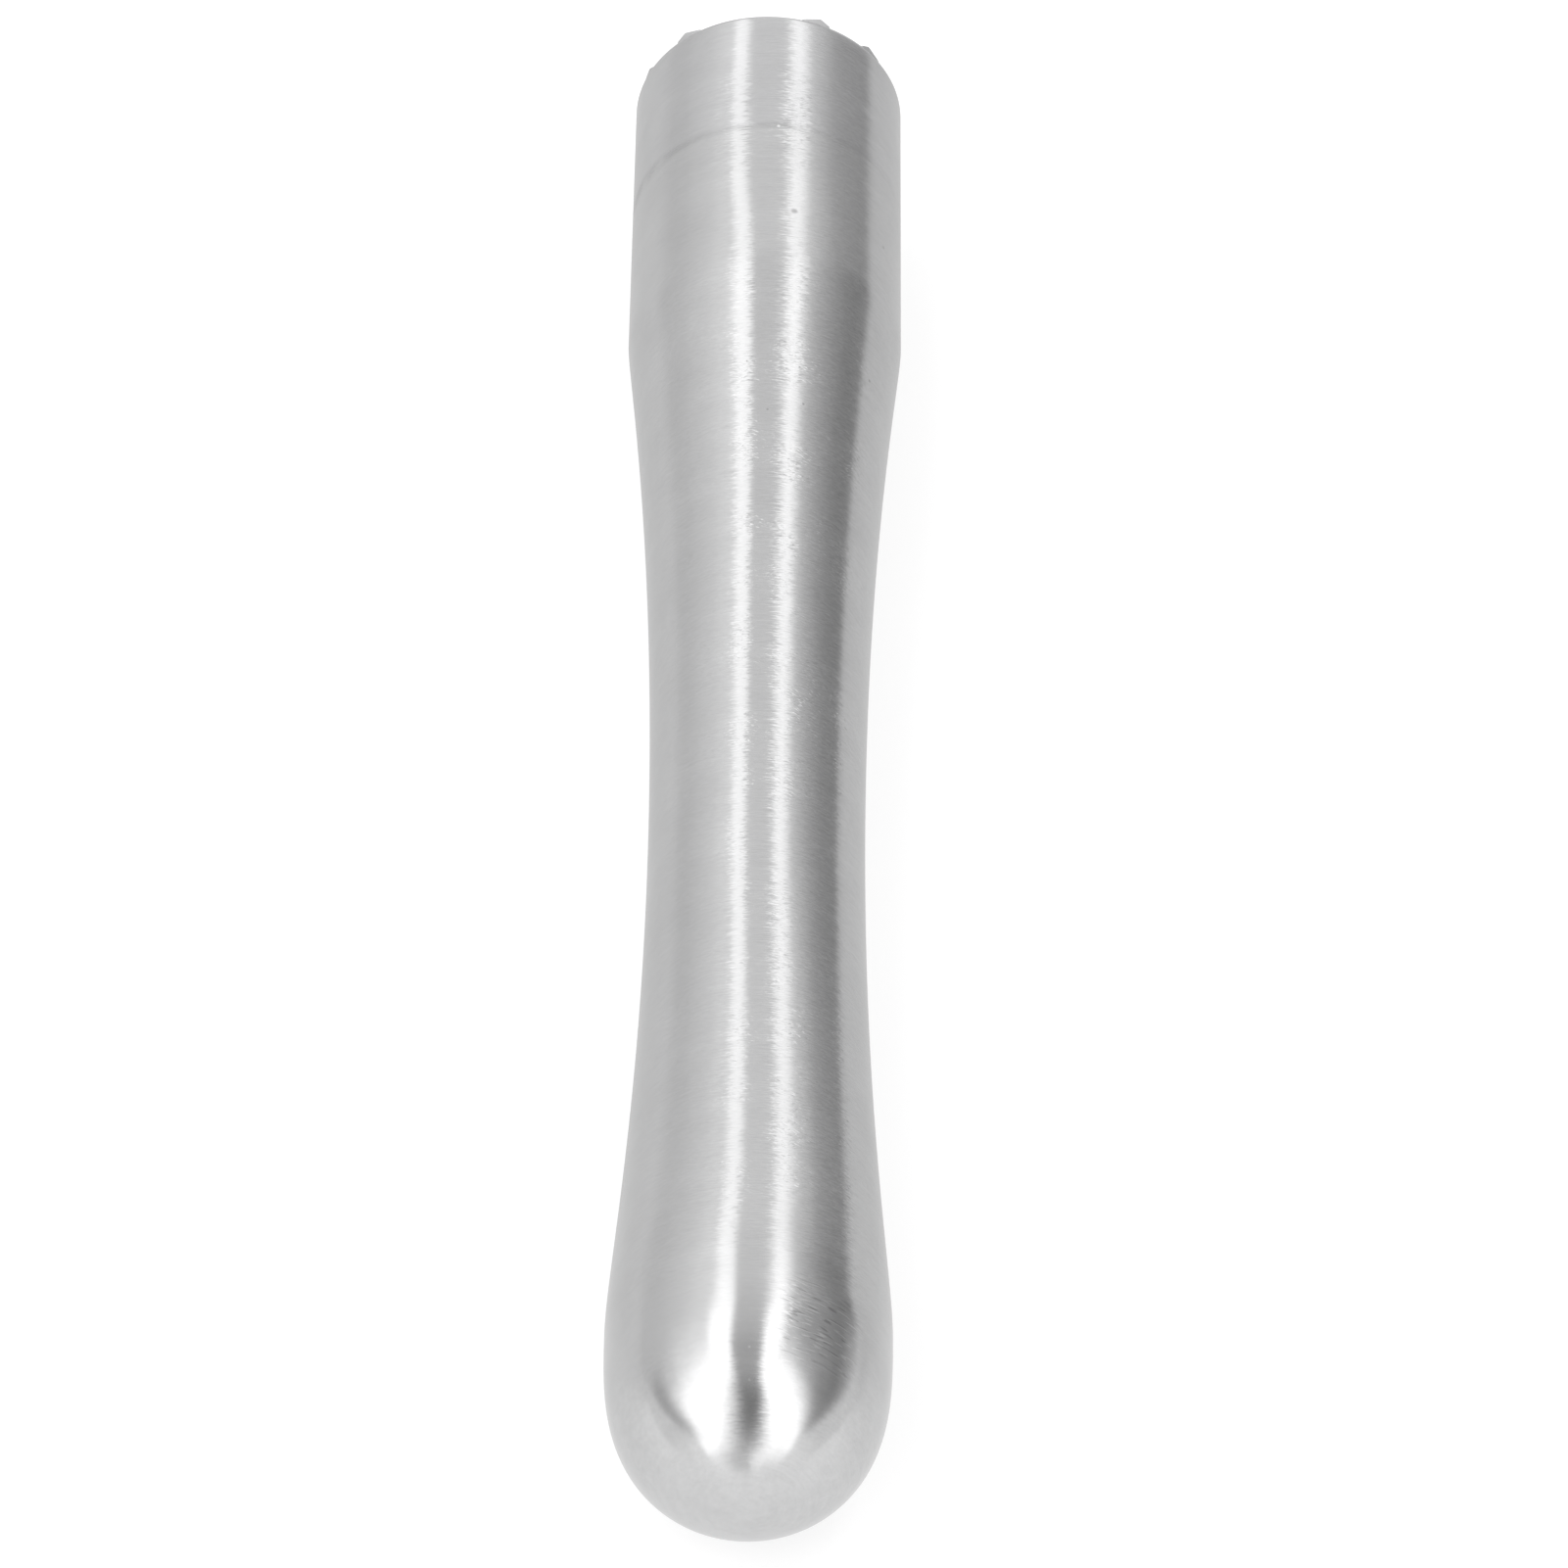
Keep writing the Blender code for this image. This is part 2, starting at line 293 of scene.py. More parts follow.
# The light tent. A direction has x to the right, y away from the camera, z up, forward towards the
# camera, azimuth in degrees round the tool (0 is up and 90 is to the right), and bearing in
# degrees round the vertical (0 is towards the camera and 90 is to the right).
WHITE = (1.0, 1.0, 1.0, 1.0)
WALL_LEVEL = (
    (-180.0, 0.80), (-115.0, 0.80), (-82.0, 0.77), (-65.0, 0.84), (-48.0, 0.94), (-32.0, 1.06),
    (30.0, 1.06), (38.0, 0.84), (45.0, 0.66), (55.0, 0.48), (63.0, 0.38), (78.0, 0.29),
    (95.0, 0.275), (180.0, 0.275),
)

# Soft patches of the walls: strength, and between which values each fades in
FAR_RIGHT = (0.48, (("y", 0.62, 0.78), ("azimuth", 30.0, 55.0)))
NEAR_RIGHT = (0.60, (("forward", 0.15, 0.6), ("azimuth", 40.0, 55.0)))
UPPER_LEFT = (
    0.26, (("azimuth", -70.0, -50.0), ("azimuth", 0.0, -28.0), ("forward", -0.55, -0.1)),
)
LOW_FAR_RIGHT = (0.38, (("y", 0.74, 0.84), ("azimuth", 60.0, 84.0)))
LOW_NEAR_RIGHT = (0.30, (("y", 0.62, 0.45), ("azimuth", 72.0, 88.0)))
BESIDE_RIGHT = (
    0.25,
    (("y", 0.12, 0.25), ("y", 0.62, 0.5), ("azimuth", 24.0, 32.0), ("azimuth", 62.0, 42.0)),
)

# Flaps: the azimuths of their outer edges by forward, and how soft the edges are
FLAP_LIGHT = (0.40, 0.66, 1.95, 1.58)
LEFT_FLAP_EDGE = (
    (-1.0, -28.0), (-0.78, -27.5), (-0.66, -25.5), (-0.58, -24.0), (-0.4, -30.0), (-0.1, -30.0),
    (0.1, -45.0), (0.34, -62.0), (0.6, -70.0), (0.8, -80.0), (0.88, -97.0), (0.94, -130.0),
    (1.0, -175.0),
)
LEFT_FLAP_SOFTNESS = (
    (-1.0, 5.0), (-0.4, 4.0), (-0.16, 5.0), (0.1, 26.0), (0.34, 18.0), (1.0, 5.0),
)
RIGHT_FLAP_EDGE = (
    (-1.0, 32.0), (-0.6, 32.0), (-0.44, 27.0), (-0.1, 24.5), (0.0, 28.0), (0.2, 43.0), (0.4, 52.0),
    (0.63, 65.0), (0.8, 82.0), (0.88, 97.0), (0.94, 130.0), (1.0, 175.0),
)
RIGHT_FLAP_SOFTNESS = (
    (-1.0, 5.0), (-0.16, 6.0), (0.0, 12.0), (0.2, 17.0), (0.45, 15.0), (0.7, 11.0), (1.0, 8.0),
)

# The slit between the flaps: x of its edges by forward, how soft they are, and its level
SLIT_LEFT = (
    (-1.0, -0.145), (-0.6, -0.15), (-0.4, -0.18), (-0.1, -0.225), (0.2, -0.20), (0.6, -0.205),
    (0.9, -0.20), (1.0, -0.20),
)
SLIT_LEFT_SOFTNESS = (
    (-1.0, 0.045), (-0.4, 0.045), (0.0, 0.06), (0.2, 0.09), (0.6, 0.20), (1.0, 0.24),
)
SLIT_RIGHT = (
    (-1.0, 0.20), (-0.75, 0.20), (-0.66, 0.24), (-0.58, 0.27), (-0.44, 0.21), (-0.06, 0.19),
    (0.2, 0.17), (0.4, 0.20), (0.64, 0.24), (0.9, 0.22), (1.0, 0.16),
)
SLIT_RIGHT_SOFTNESS = ((-1.0, 0.06), (0.35, 0.06), (0.7, 0.14), (1.0, 0.16))
SLIT_LEVEL = (
    (-1.0, 0.97), (-0.7, 0.94), (-0.6, 0.89), (-0.45, 0.76), (-0.26, 0.69), (-0.04, 0.55),
    (0.15, 0.57), (0.35, 0.44), (0.55, 0.30), (0.8, 0.28), (0.9, 0.36), (1.0, 0.72),
)
SLIT_BEND = 0.12
SLIT_BEND_Z = (0.25, -0.15)
SLIT_FOOT_Z = (-0.36, -0.08)

# The dim strip low on the left
STRIP_LEVEL = 0.49
STRIP_BOTTOM = 0.13
STRIP_TOP = 0.30
STRIP_SOFTNESS = 0.09
STRIP_ENDS = (0.9, (("x", -0.45, -0.8), ("forward", -0.25, 0.05)))

# The white sweep low down: z of its edge by bearing, how soft it is, and its light by y
SWEEP_EDGE = (
    (-180.0, -0.20), (-140.0, -0.16), (-105.0, 0.0), (-90.0, 0.10), (-60.0, 0.16), (-45.0, 0.15),
    (-36.0, 0.06), (-26.0, -0.06), (-16.0, -0.09), (0.0, -0.26), (16.0, 0.01), (26.0, -0.02),
    (38.0, 0.10), (46.0, 0.20), (60.0, 0.20), (75.0, 0.17), (90.0, 0.10), (108.0, 0.025),
    (125.0, -0.03), (138.0, -0.09), (180.0, -0.25),
)
SWEEP_SOFTNESS = (
    (-180.0, 0.03), (-45.0, 0.04), (-25.0, 0.14), (0.0, 0.20), (14.0, 0.22), (28.0, 0.14),
    (45.0, 0.05), (90.0, 0.075), (145.0, 0.07), (180.0, 0.03),
)
SWEEP_LIGHT = (-0.2, 0.6, 0.935, 0.76)
LIT_FRONT = (0.24, (("z", -0.6, -0.1), ("forward", 0.55, 0.85)))

# Camera: the photograph's viewing angle
CAMERA_PLACE = Vector((2.934, -592.818, 637.846)) * MM
CAMERA_TILT = math.radians(43.357)
CAMERA_ROLL = math.radians(0.751)
CAMERA_LENS = 176.47


class Nodes:
    """Lays out a node tree. Each call adds nodes, and fills or links their inputs."""

    def __init__(self, tree):
        self.tree = tree

    def link(self, source, target):
        """Link an output to an input."""
        self.tree.links.new(source, target)

    def add(self, kind, inputs=None, **options):
        """A new node. Inputs that are sockets are linked, and the others are set."""
        node = self.tree.nodes.new(kind)
        for name, value in options.items():
            setattr(node, name, value)
        for key, value in (inputs or {}).items():
            if isinstance(value, bpy.types.NodeSocket):
                self.link(value, node.inputs[key])
            else:
                node.inputs[key].default_value = value
        return node

    def output(self, kind, inputs=None, **options):
        """The first output of a new node."""
        return self.add(kind, inputs, **options).outputs[0]

    def grouped(self, group, values):
        """The outputs of a shader node group."""
        return self.add("ShaderNodeGroup", values, node_tree=group).outputs

    def math(self, operation, first, second=0.0):
        """The result of one arithmetic step."""
        return self.output("ShaderNodeMath", {0: first, 1: second}, operation=operation)

    def times(self, product, *values):
        """The product of numbers."""
        for value in values:
            product = self.math("MULTIPLY", product, value)
        return product

    def total(self, amount, *values):
        """The sum of numbers."""
        for value in values:
            amount = self.math("ADD", amount, value)
        return amount

    def less(self, share):
        """What a share leaves of 1."""
        return self.math("SUBTRACT", 1.0, share)

    def mixed(self, share, first, second):
        """A number between two numbers."""
        return self.output("ShaderNodeMix", {0: share, 2: first, 3: second})

    def ranged(self, value, low, high, to_low=0.0, to_high=1.0, smooth=True):
        """The value taken from one range to another, and held at its ends."""
        values = {
            "Value": value, "From Min": low, "From Max": high, "To Min": to_low, "To Max": to_high,
        }
        kind = "SMOOTHSTEP" if smooth else "LINEAR"
        return self.output("ShaderNodeMapRange", values, interpolation_type=kind)

    def step(self, value, edge, softness):
        """0 where the value is under the edge and 1 where it is over it, with a soft change."""
        low = self.math("SUBTRACT", edge, softness)
        high = self.math("ADD", edge, softness)
        return self.ranged(value, low, high)

    def through(self, value, points):
        """The value taken along a smooth curve through given (value, result) points."""
        places, results = zip(*points)
        start, end = places[0], places[-1]
        low, high = min(results), max(results)
        share = self.ranged(value, start, end, smooth=False)
        node = self.add("ShaderNodeFloatCurve", {"Value": share})
        curve = node.mapping.curves[0]
        for index, (place, result) in enumerate(points):
            spot = ((place - start) / (end - start), (result - low) / (high - low))
            if index < 2:
                curve.points[index].location = spot
            else:
                curve.points.new(*spot)
        for point in curve.points:
            point.handle_type = "AUTO_CLAMPED"
        node.mapping.update()
        return self.ranged(node.outputs[0], 0.0, 1.0, low, high, smooth=False)

    def vector(self, operation, first, second=(0.0, 0.0, 0.0)):
        """The vector result of one vector step."""
        return self.output("ShaderNodeVectorMath", {0: first, 1: second}, operation=operation)

    def scaled(self, vector, factor):
        """The vector times a number."""
        return self.output(
            "ShaderNodeVectorMath", {0: vector, "Scale": factor}, operation="SCALE",
        )

    def length(self, vector):
        """The length of a vector."""
        node = self.add("ShaderNodeVectorMath", {0: vector}, operation="LENGTH")
        return node.outputs["Value"]

    def parts(self, vector):
        """The three numbers of a vector."""
        return self.add("ShaderNodeSeparateXYZ", {0: vector}).outputs

    def joined(self, x, y, z):
        """A vector from three numbers."""
        return self.output("ShaderNodeCombineXYZ", {0: x, 1: y, 2: z})

    def noise(self, place, scale=1.0, detail=0.0, roughness=0.5):
        """Noise between 0 and 1."""
        values = {"Vector": place, "Scale": scale, "Detail": detail, "Roughness": roughness}
        return self.output("ShaderNodeTexNoise", values, noise_dimensions="3D")


def new_tree(name, kind, inputs, outputs):
    """A node group: its helper, the outputs of its input node and the inputs of its output node."""
    tree = bpy.data.node_groups.new(name, kind)
    for direction, sockets in (("INPUT", inputs), ("OUTPUT", outputs)):
        for socket_name, (socket_type, value) in sockets.items():
            socket = tree.interface.new_socket(
                name=socket_name, in_out=direction, socket_type="NodeSocket" + socket_type,
            )
            if value is not None:
                socket.default_value = value
    nodes = Nodes(tree)
    return nodes, nodes.add("NodeGroupInput").outputs, nodes.add("NodeGroupOutput").inputs


def new_material(name):
    """A material with an empty node tree, and the helper for it."""
    material = bpy.data.materials.new(name)
    material.use_nodes = True
    material.node_tree.nodes.clear()
    return material, Nodes(material.node_tree)


def new_object(name, data):
    """A new object in the scene."""
    obj = bpy.data.objects.new(name, data)
    bpy.context.scene.collection.objects.link(obj)
    return obj


# Outlines


def on_bezier(curve, share):
    """The point at this share of a cubic Bezier curve, as (height, radius)."""
    points = list(curve)
    while len(points) > 1:
        points = [a.lerp(b, share) for a, b in zip(points, points[1:])]
    return points[0]


def radius_on_bezier(curve, height):
    """The radius where the curve, whose heights only grow, passes this height."""
    low, high = 0.0, 1.0
    for _ in range(CURVE_TRIES):
        middle = (low + high) / 2
        if on_bezier(curve, middle).x < height:
            low = middle
        else:
            high = middle
    return on_bezier(curve, high).y


def tube_radius(height):
    """Outer radius of the tube: the collar, the neck down to the waist, then the grip."""
    if height <= SHOULDER:
        return HEAD_RADIUS
    if height <= WAIST:
        return radius_on_bezier(NECK_CURVE, height)
    return radius_on_bezier(GRIP_CURVE, min(height, BELLY))


def evenly(first, last, step):
    """Even heights from first to last, about a step apart."""
    count = max(1, round((last - first) / step))
    return [first + (last - first) * index / count for index in range(count + 1)]


def dome_points(radius, length, first_height, steps):
    """Half outline of a dome, nearly straight at first and round at its pole."""
    first_angle = math.asin((first_height / length) ** (DOME_FULLNESS / 2))
    points = []
    for step in range(steps):
        angle = first_angle + (math.pi / 2 - first_angle) * step / steps
        rise = length * math.sin(angle) ** (2 / DOME_FULLNESS)
        points.append((BELLY + rise, radius * math.cos(angle)))
    points.append((BELLY + length, 0.0))
    return points


def rim_points():
    """The head's rounded rim, from its flat face out to its side."""
    points = []
    for step in range(ROUNDING_STEPS + 1):
        angle = math.pi / 2 * (1 - step / ROUNDING_STEPS)
        points.append((
            RIM_ROUNDING * (1 - math.sin(angle)),
            HEAD_RADIUS - RIM_ROUNDING * (1 - math.cos(angle)),
        ))
    return points


def groove_edge(height, radius, towards):
    """The soft edge of a shell beside the head's seam, from its side into the groove."""
    points = []
    for step in range(GROOVE_STEPS + 1):
        share = step / GROOVE_STEPS
        points.append((
            height + towards * GROOVE_EDGE * (share - 1),
            radius - GROOVE_DEPTH * (1 - math.cos(share * math.pi / 2)),
        ))
    return points


def head_outline():
    """The cast head: face, rim, skirt, and the spigot inside the tube."""
    skirt_end = HEAD_SEAM - WELD_WIDTH / 2
    spigot_radius = HEAD_RADIUS - TUBE_WALL - FIT_GAP
    spigot_end = HEAD_SEAM + SPIGOT_LENGTH
    bore_radius = spigot_radius - SPIGOT_WALL
    skirt = evenly(RIM_ROUNDING, skirt_end - GROOVE_EDGE, TUBE_STEP)[1:-1]
    outline = [(0.0, 0.0)]
    outline += rim_points()
    outline += [(height, HEAD_RADIUS) for height in skirt]
    outline += groove_edge(skirt_end, HEAD_RADIUS, 1)
    outline += [
        (skirt_end, spigot_radius), (spigot_end, spigot_radius), (spigot_end, bore_radius),
        (HEAD_FACE, bore_radius), (HEAD_FACE, 0.0),
    ]
    return outline


def tube_outline():
    """The drawn tube, outside and inside."""
    start = HEAD_SEAM + WELD_WIDTH / 2
    end = BELLY - WELD_WIDTH / 2
    outer = evenly(start + GROOVE_EDGE, end, TUBE_STEP)[1:]
    inner = evenly(start, end, INNER_STEP)[::-1]
    outline = groove_edge(start, HEAD_RADIUS, -1)[::-1]
    outline += [(height, tube_radius(height)) for height in outer]
    outline += [(height, tube_radius(height) - TUBE_WALL) for height in inner]
    return outline + outline[:1]


def dome_outline():
    """The pressed cap, outside and inside, with the lip that lines up the tube."""
    lip_end = BELLY - LIP_LENGTH
    lip_radius = tube_radius(lip_end) - TUBE_WALL - FIT_GAP
    cavity_radius = lip_radius - LIP_WALL
    start = WELD_WIDTH / 2
    outline = [(lip_end, cavity_radius), (lip_end, lip_radius), (BELLY + start, lip_radius)]
    outline += dome_points(BELLY_RADIUS, DOME_LENGTH, start, DOME_STEPS)
    outline += dome_points(cavity_radius, DOME_LENGTH - DOME_WALL, start, CAVITY_STEPS)[::-1]
    return outline + outline[:1]


def weld_outline(height, radius, sunk):
    """A weld bead, ground flat between the shells it joins."""
    low, high = height - WELD_WIDTH / 2, height + WELD_WIDTH / 2
    top, root = radius - sunk, radius - TUBE_WALL
    return [(low, root), (low, top), (height, top), (high, top), (high, root), (low, root)]


# Shapes


def lathe_tree():
    """Geometry nodes that turn a half outline round the tool's axis and lay the tool down."""
    nodes, given, result = new_tree(
        "Turn round the axis", "GeometryNodeTree",
        {"Outline": ("Geometry", None), "Segments": ("Int", SEGMENTS),
         "Same place": ("Float", SAME_PLACE), "Smooth angle": ("Float", SMOOTH_ANGLE),
         "Place": ("Vector", None), "Turn": ("Vector", None), "Finish": ("Material", None)},
        {"Shell": ("Geometry", None)},
    )
    count = nodes.add(
        "GeometryNodeAttributeDomainSize", {"Geometry": given["Outline"]}, component="MESH",
    ).outputs["Point Count"]
    grid = nodes.add("GeometryNodeMeshGrid", {
        "Size X": 1.0, "Size Y": 1.0,
        "Vertices X": nodes.math("ADD", given["Segments"], 1.0), "Vertices Y": count,
    }).outputs
    shell = nodes.output(
        "GeometryNodeStoreNamedAttribute",
        {"Geometry": grid["Mesh"], "Name": "UVMap", "Value": grid["UV Map"]},
        data_type="FLOAT2", domain="CORNER",
    )

    # Each row of the grid is one point of the outline, and each column is one turn of it
    spot = nodes.parts(nodes.output("GeometryNodeInputPosition"))
    row = nodes.times(nodes.math("ADD", spot[1], 0.5), nodes.math("SUBTRACT", count, 1.0))
    radius, height, _ = nodes.parts(nodes.output(
        "GeometryNodeSampleIndex",
        {"Geometry": given["Outline"], "Value": nodes.output("GeometryNodeInputPosition"),
         "Index": nodes.math("ROUND", row)},
        data_type="FLOAT_VECTOR", domain="POINT",
    ))
    angle = nodes.times(spot[0], 2 * math.pi)
    turned = nodes.joined(
        nodes.times(radius, nodes.math("SINE", angle)),
        nodes.times(height, -1.0),
        nodes.times(radius, nodes.math("COSINE", angle)),
    )
    shell = nodes.output("GeometryNodeSetPosition", {"Geometry": shell, "Position": turned})
    shell = nodes.output(
        "GeometryNodeMergeByDistance", {"Geometry": shell, "Distance": given["Same place"]},
    )
    shell = nodes.output(
        "GeometryNodeSetShadeSmooth", {"Geometry": shell, "Shade Smooth": True}, domain="FACE",
    )
    bend = nodes.add("GeometryNodeInputMeshEdgeAngle").outputs["Unsigned Angle"]
    corner = nodes.output(
        "FunctionNodeCompare", {0: bend, 1: given["Smooth angle"]},
        data_type="FLOAT", operation="GREATER_THAN",
    )
    shell = nodes.output(
        "GeometryNodeSetShadeSmooth",
        {"Geometry": shell, "Selection": corner, "Shade Smooth": False}, domain="EDGE",
    )
    nodes.link(laid_down(nodes, given, shell), result["Shell"])
    return nodes.tree


def teeth_tree():
    """Geometry nodes that set one tooth on a square grid and trim the field round."""
    nodes, given, result = new_tree(
        "Crushing teeth", "GeometryNodeTree",
        {"Tooth": ("Geometry", None), "Pitch": ("Float", TOOTH_PITCH), "Rows": ("Int", 6),
         "Field radius": ("Float", HEAD_RADIUS), "Depth": ("Float", RIM_ROUNDING),
         "Grid turn": ("Float", 0.0), "Place": ("Vector", None), "Turn": ("Vector", None),
         "Finish": ("Material", None)},
        {"Teeth": ("Geometry", None)},
    )
    width = nodes.times(given["Pitch"], nodes.math("SUBTRACT", given["Rows"], 1.0))
    grid = nodes.output("GeometryNodeMeshGrid", {
        "Size X": width, "Size Y": width, "Vertices X": given["Rows"], "Vertices Y": given["Rows"],
    })
    outside = nodes.output(
        "FunctionNodeCompare",
        {0: nodes.length(nodes.output("GeometryNodeInputPosition")), 1: given["Field radius"]},
        data_type="FLOAT", operation="GREATER_EQUAL",
    )
    places = nodes.output(
        "GeometryNodeDeleteGeometry", {"Geometry": grid, "Selection": outside}, domain="POINT",
    )
    teeth = nodes.output(
        "GeometryNodeInstanceOnPoints", {"Points": places, "Instance": given["Tooth"]},
    )
    teeth = nodes.output("GeometryNodeRealizeInstances", {"Geometry": teeth})
    teeth = nodes.output("GeometryNodeTransform", {
        "Geometry": teeth, "Rotation": nodes.joined(0.0, 0.0, given["Grid turn"]),
    })
    trim = nodes.output("GeometryNodeMeshCylinder", {
        "Vertices": SEGMENTS // 2, "Radius": given["Field radius"],
        "Depth": nodes.times(given["Depth"], 4.0),
    })
    trimmed = nodes.add(
        "GeometryNodeMeshBoolean", {"Mesh 2": teeth}, operation="INTERSECT", solver="EXACT",
    )
    nodes.link(trim, trimmed.inputs["Mesh 2"])
    teeth = nodes.output(
        "GeometryNodeTransform", {"Geometry": trimmed.outputs[0], "Rotation": UP_TO_HEADWARD},
    )
    nodes.link(laid_down(nodes, given, teeth), result["Teeth"])
    return nodes.tree


def laid_down(nodes, given, shape):
    """The last steps of a geometry tree: the shape in its place, real, with its finish."""
    shape = nodes.output("GeometryNodeTransform", {
        "Geometry": shape, "Translation": given["Place"], "Rotation": given["Turn"],
    })
    shape = nodes.output("GeometryNodeRealizeInstances", {"Geometry": shape})
    return nodes.output(
        "GeometryNodeSetMaterial", {"Geometry": shape, "Material": given["Finish"]},
    )


def finished_mesh(obj):
    """A plain mesh of the object as its modifiers leave it."""
    graph = bpy.context.evaluated_depsgraph_get()
    return bpy.data.meshes.new_from_object(
        obj.evaluated_get(graph), preserve_all_data_layers=True, depsgraph=graph,
    )


def run_tree(name, mesh, tree, values):
    """A plain mesh object: the mesh after the tree has worked on it, with the tree gone."""
    source = new_object(name + "_source", mesh)
    modifier = source.modifiers.new(tree.name, "NODES")
    modifier.node_group = tree
    for item in tree.interface.items_tree:
        if item.in_out == "INPUT" and item.name in values:
            modifier[item.identifier] = values[item.name]
    made = finished_mesh(source)
    made.name = name
    bpy.data.objects.remove(source, do_unlink=True)
    return new_object(name, made)


def face_outwards(obj):
    """Turn the faces of a closed mesh outwards if they point in."""
    bm = bmesh.new()
    bm.from_mesh(obj.data)
    if bm.calc_volume(signed=True) < 0:
        bmesh.ops.reverse_faces(bm, faces=bm.faces)
    bm.to_mesh(obj.data)
    bm.free()


def turned_piece(name, outline, finish):
    """A closed shell of revolution from its half outline."""
    mesh = bpy.data.meshes.new(name + "_outline")
    points = [(radius, height, 0.0) for height, radius in outline]
    mesh.from_pydata(points, [(index, index + 1) for index in range(len(points) - 1)], [])
    piece = run_tree(name, mesh, LATHE, {"Segments": SEGMENTS, "Finish": finish, **LAY_DOWN})
    face_outwards(piece)
    return piece


def tooth_mesh():
    """One square pyramid with a flat top and rounded edges, standing on a sunk root."""
    bm = bmesh.new()
    corners = ((-1, -1), (1, -1), (1, 1), (-1, 1))
    layers = []
    for height, width in (
        (-RIM_ROUNDING, TOOTH_BASE), (0.0, TOOTH_BASE), (TOOTH_HEIGHT, TOOTH_TIP),
    ):
        half = width / 2
        layers.append([bm.verts.new((half * x, half * y, height)) for x, y in corners])
    bm.faces.new(layers[0])
    bm.faces.new(layers[-1])
    for lower, upper in zip(layers, layers[1:]):
        for side in range(4):
            after = (side + 1) % 4
            bm.faces.new((lower[side], lower[after], upper[after], upper[side]))
    bmesh.ops.recalc_face_normals(bm, faces=bm.faces)
    shown = [edge for edge in bm.edges if max(v.co.z for v in edge.verts) > TOOTH_HEIGHT / 2]
    bmesh.ops.bevel(
        bm, geom=shown, offset=TOOTH_EDGE, segments=TOOTH_EDGE_STEPS, profile=0.5, affect="EDGES",
    )
    mesh = bpy.data.meshes.new("tooth")
    bm.to_mesh(mesh)
    bm.free()
    return mesh


def toothed_head(skirt_finish, face_finish):
    """The head with its teeth, as one closed body."""
    body = turned_piece("muddler_head", head_outline(), skirt_finish)
    teeth = run_tree("teeth", tooth_mesh(), teeth_tree(), {
        "Rows": 2 * math.ceil(HEAD_RADIUS / TOOTH_PITCH), "Pitch": TOOTH_PITCH,
        "Field radius": HEAD_RADIUS - TEETH_SETBACK, "Depth": RIM_ROUNDING,
        "Grid turn": -TEETH_TURN, "Finish": face_finish, **LAY_DOWN,
    })
    union = body.modifiers.new("teeth", "BOOLEAN")
    union.operation = "UNION"
    union.solver = "EXACT"
    union.material_mode = "TRANSFER"
    union.object = teeth
    mesh = finished_mesh(body)
    body.modifiers.clear()
    body.data = mesh
    bpy.data.objects.remove(teeth, do_unlink=True)
    face_slot = mesh.materials.find(face_finish.name)
    for face in mesh.polygons:
        if (face.center - TEETH_FLOOR_PLACE).dot(ALONG_TOOL) > -FACE_MARGIN:
            face.material_index = face_slot
    mesh.shade_smooth()
    mesh.set_sharp_from_angle(angle=SMOOTH_ANGLE)
    return body


# Finishes


def axis_group():
    """Where a point lies on the tool, and which ways are round it and along it."""
    nodes, given, result = new_tree(
        "Place on the tool", "ShaderNodeTree",
        {"Position": ("Vector", None)},
        {"Place": ("Vector", None), "Height": ("Float", None), "Angle": ("Float", None),
         "Round": ("Vector", None), "Along": ("Vector", None)},
    )
    moved = nodes.vector("SUBTRACT", given["Position"], tuple(TEETH_FLOOR_PLACE))
    straight = nodes.output(
        "ShaderNodeVectorRotate", {"Vector": moved, "Angle": -LEAN}, rotation_type="X_AXIS",
    )
    place = nodes.scaled(straight, 1 / MM)
    x, y, z = nodes.parts(place)
    side = nodes.vector("NORMALIZE", nodes.joined(z, 0.0, nodes.times(x, -1.0)))
    nodes.link(place, result["Place"])
    nodes.link(nodes.times(y, -1.0), result["Height"])
    nodes.link(nodes.math("DEGREES", nodes.math("ARCTAN2", x, z)), result["Angle"])
    nodes.link(side, result["Round"])
    nodes.link(nodes.joined(*ALONG_TOOL), result["Along"])
    return nodes.tree


def lines_group():
    """Fine lines that run round the tool, each with its own strength between -0.5 and 0.5."""
    nodes, given, result = new_tree(
        "Brush lines", "ShaderNodeTree",
        {"Place": ("Vector", None), "Width": ("Float", 0.3), "Length": ("Float", 8.0),
         "Offset": ("Float", 0.0), "Detail": ("Float", 1.0), "Roughness": ("Float", 0.6)},
        {"Lines": ("Float", None)},
    )
    x, y, z = nodes.parts(given["Place"])
    stretched = nodes.joined(
        nodes.math("DIVIDE", x, given["Length"]),
        nodes.math("ADD", nodes.math("DIVIDE", y, given["Width"]), given["Offset"]),
        nodes.math("DIVIDE", z, given["Length"]),
    )
    noise = nodes.noise(stretched, 1.0, given["Detail"], given["Roughness"])
    nodes.link(nodes.math("SUBTRACT", noise, 0.5), result["Lines"])
    return nodes.tree


